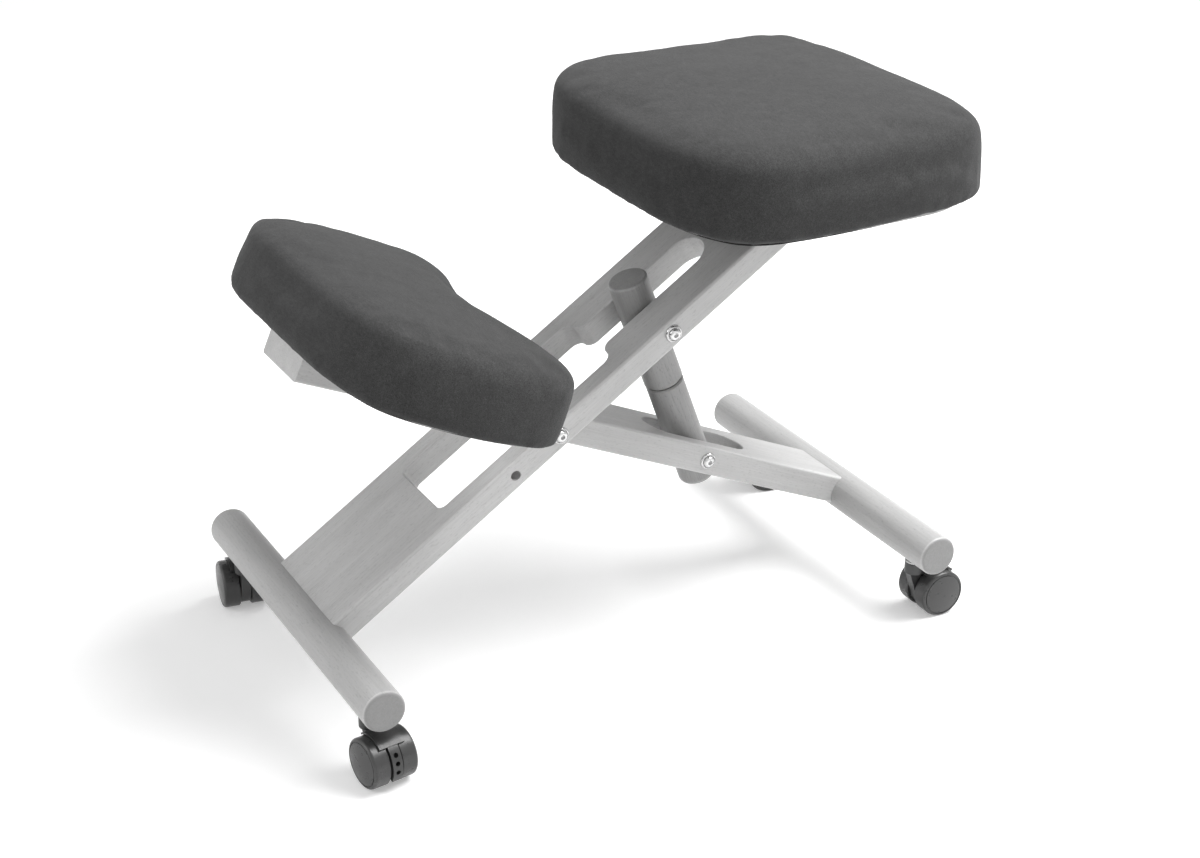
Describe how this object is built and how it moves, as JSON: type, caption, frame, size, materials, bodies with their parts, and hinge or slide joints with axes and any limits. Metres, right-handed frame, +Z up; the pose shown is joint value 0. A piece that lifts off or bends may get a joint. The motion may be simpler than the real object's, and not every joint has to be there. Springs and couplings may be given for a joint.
{
  "type": "kneeling chair",
  "caption": "Wooden kneeling chair: slotted beam and crossing leg folded by a screw adjuster, upholstered seat and knee pads, round crossbars on swivel twin-wheel casters.",
  "frame": {"origin": "on the floor, at the centre of the chair's outline", "axes": "+Z up; -Y the way the sitter's knees point; +Y towards the back of the seat; +X the sitter's left"},
  "size_m": [0.4338, 0.7132, 0.5481],
  "materials": {
    "wood": "satin lacquer",
    "dark_wood": "satin lacquer",
    "plywood": "raw",
    "seat_fabric": "fine weave",
    "steel": "zinc plated",
    "chrome": "bright",
    "caster_plastic": "matte",
    "nylon": "matte"
  },
  "bodies": {
    "main_frame": {"main_beam": "wood", "front_crossbar": "wood", "beam_dowels": "plywood", "seat_bearer": "plywood", "seat_board": "plywood", "seat_cushion": "seat_fabric", "seat_tnuts": "steel", "seat_bolts_front": "steel", "seat_bolts_rear": "steel", "pivot_bolts": "chrome", "pivot_cups": "chrome", "pivot_sleeve": "steel", "pivot_spacers": "nylon", "front_stem_sockets": "nylon"},
    "leg": {"rear_leg": "wood", "rear_crossbar": "wood", "leg_dowels": "plywood", "knee_board": "plywood", "knee_cushion": "seat_fabric", "knee_tnuts": "steel", "knee_bolts": "steel", "lower_bolts": "chrome", "lower_cups": "chrome", "rear_stem_sockets": "nylon"},
    "adjuster_upper": {"upper_barrel": "dark_wood", "upper_inserts": "steel", "upper_bolts": "chrome", "upper_cups": "chrome", "upper_rod_nut": "steel"},
    "adjuster_lower": {"lower_barrel": "dark_wood", "threaded_rod": "steel", "lower_rod_nut": "steel"},
    "front_left_swivel": {"caster_front_left_stem": "steel", "caster_front_left_housing": "caster_plastic", "caster_front_left_axle": "steel"},
    "front_left_wheel_a": {"caster_front_left_wheel_a": "caster_plastic"},
    "front_left_wheel_b": {"caster_front_left_wheel_b": "caster_plastic"},
    "front_right_swivel": {"caster_front_right_stem": "steel", "caster_front_right_housing": "caster_plastic", "caster_front_right_axle": "steel"},
    "front_right_wheel_a": {"caster_front_right_wheel_a": "caster_plastic"},
    "front_right_wheel_b": {"caster_front_right_wheel_b": "caster_plastic"},
    "rear_left_swivel": {"caster_rear_left_stem": "steel", "caster_rear_left_housing": "caster_plastic", "caster_rear_left_axle": "steel"},
    "rear_left_wheel_a": {"caster_rear_left_wheel_a": "caster_plastic"},
    "rear_left_wheel_b": {"caster_rear_left_wheel_b": "caster_plastic"},
    "rear_right_swivel": {"caster_rear_right_stem": "steel", "caster_rear_right_housing": "caster_plastic", "caster_rear_right_axle": "steel"},
    "rear_right_wheel_a": {"caster_rear_right_wheel_a": "caster_plastic"},
    "rear_right_wheel_b": {"caster_rear_right_wheel_b": "caster_plastic"}
  },
  "joints": [
    {"name": "fold", "type": "hinge", "parent": "main_frame", "child": "leg", "pos_m": [0, -0.08326, 0.24695], "axis": [-1, 0, 0], "range_deg": [0, 42.2]},
    {"name": "adjuster_swing", "type": "hinge", "parent": "main_frame", "child": "adjuster_upper", "pos_m": [0, 0.04236, 0.32892], "axis": [-1, 0, 0], "range_deg": [0, 30]},
    {"name": "adjuster_extend", "type": "slide", "parent": "adjuster_upper", "child": "adjuster_lower", "axis": [0, 0.3421, -0.9397], "range_m": [0, 0.0987]},
    {"name": "front_left_swivel_turn", "type": "hinge", "parent": "main_frame", "child": "front_left_swivel", "pos_m": [0.1675, -0.3345, 0.07], "axis": [0, 0, 1], "continuous": true},
    {"name": "front_left_wheel_a_roll", "type": "hinge", "parent": "front_left_swivel", "child": "front_left_wheel_a", "pos_m": [0.18929, -0.33144, 0.025], "axis": [-0.1392, 0.9903, 0], "continuous": true},
    {"name": "front_left_wheel_b_roll", "type": "hinge", "parent": "front_left_swivel", "child": "front_left_wheel_b", "pos_m": [0.18929, -0.33144, 0.025], "axis": [-0.1392, 0.9903, 0], "continuous": true},
    {"name": "front_right_swivel_turn", "type": "hinge", "parent": "main_frame", "child": "front_right_swivel", "pos_m": [-0.1675, -0.3345, 0.07], "axis": [0, 0, 1], "continuous": true},
    {"name": "front_right_wheel_a_roll", "type": "hinge", "parent": "front_right_swivel", "child": "front_right_wheel_a", "pos_m": [-0.18929, -0.33144, 0.025], "axis": [-0.1392, -0.9903, 0], "continuous": true},
    {"name": "front_right_wheel_b_roll", "type": "hinge", "parent": "front_right_swivel", "child": "front_right_wheel_b", "pos_m": [-0.18929, -0.33144, 0.025], "axis": [-0.1392, -0.9903, 0], "continuous": true},
    {"name": "rear_left_swivel_turn", "type": "hinge", "parent": "leg", "child": "rear_left_swivel", "pos_m": [0.1675, 0.2805, 0.07], "axis": [0, 0, 1], "continuous": true},
    {"name": "rear_left_wheel_a_roll", "type": "hinge", "parent": "rear_left_swivel", "child": "rear_left_wheel_a", "pos_m": [0.1675, 0.3025, 0.025], "axis": [-1, 0, 0], "continuous": true},
    {"name": "rear_left_wheel_b_roll", "type": "hinge", "parent": "rear_left_swivel", "child": "rear_left_wheel_b", "pos_m": [0.1675, 0.3025, 0.025], "axis": [-1, 0, 0], "continuous": true},
    {"name": "rear_right_swivel_turn", "type": "hinge", "parent": "leg", "child": "rear_right_swivel", "pos_m": [-0.1675, 0.2805, 0.07], "axis": [0, 0, 1], "continuous": true},
    {"name": "rear_right_wheel_a_roll", "type": "hinge", "parent": "rear_right_swivel", "child": "rear_right_wheel_a", "pos_m": [-0.16293, 0.30202, 0.025], "axis": [-0.9781, 0.2079, 0], "continuous": true},
    {"name": "rear_right_wheel_b_roll", "type": "hinge", "parent": "rear_right_swivel", "child": "rear_right_wheel_b", "pos_m": [-0.16293, 0.30202, 0.025], "axis": [-0.9781, 0.2079, 0], "continuous": true}
  ],
  "couplings": [
    {"joint": "adjuster_swing", "follows": "fold", "ratio": 0.70675},
    {"joint": "adjuster_extend", "follows": "fold", "m_per_rad": 0.13382}
  ]
}
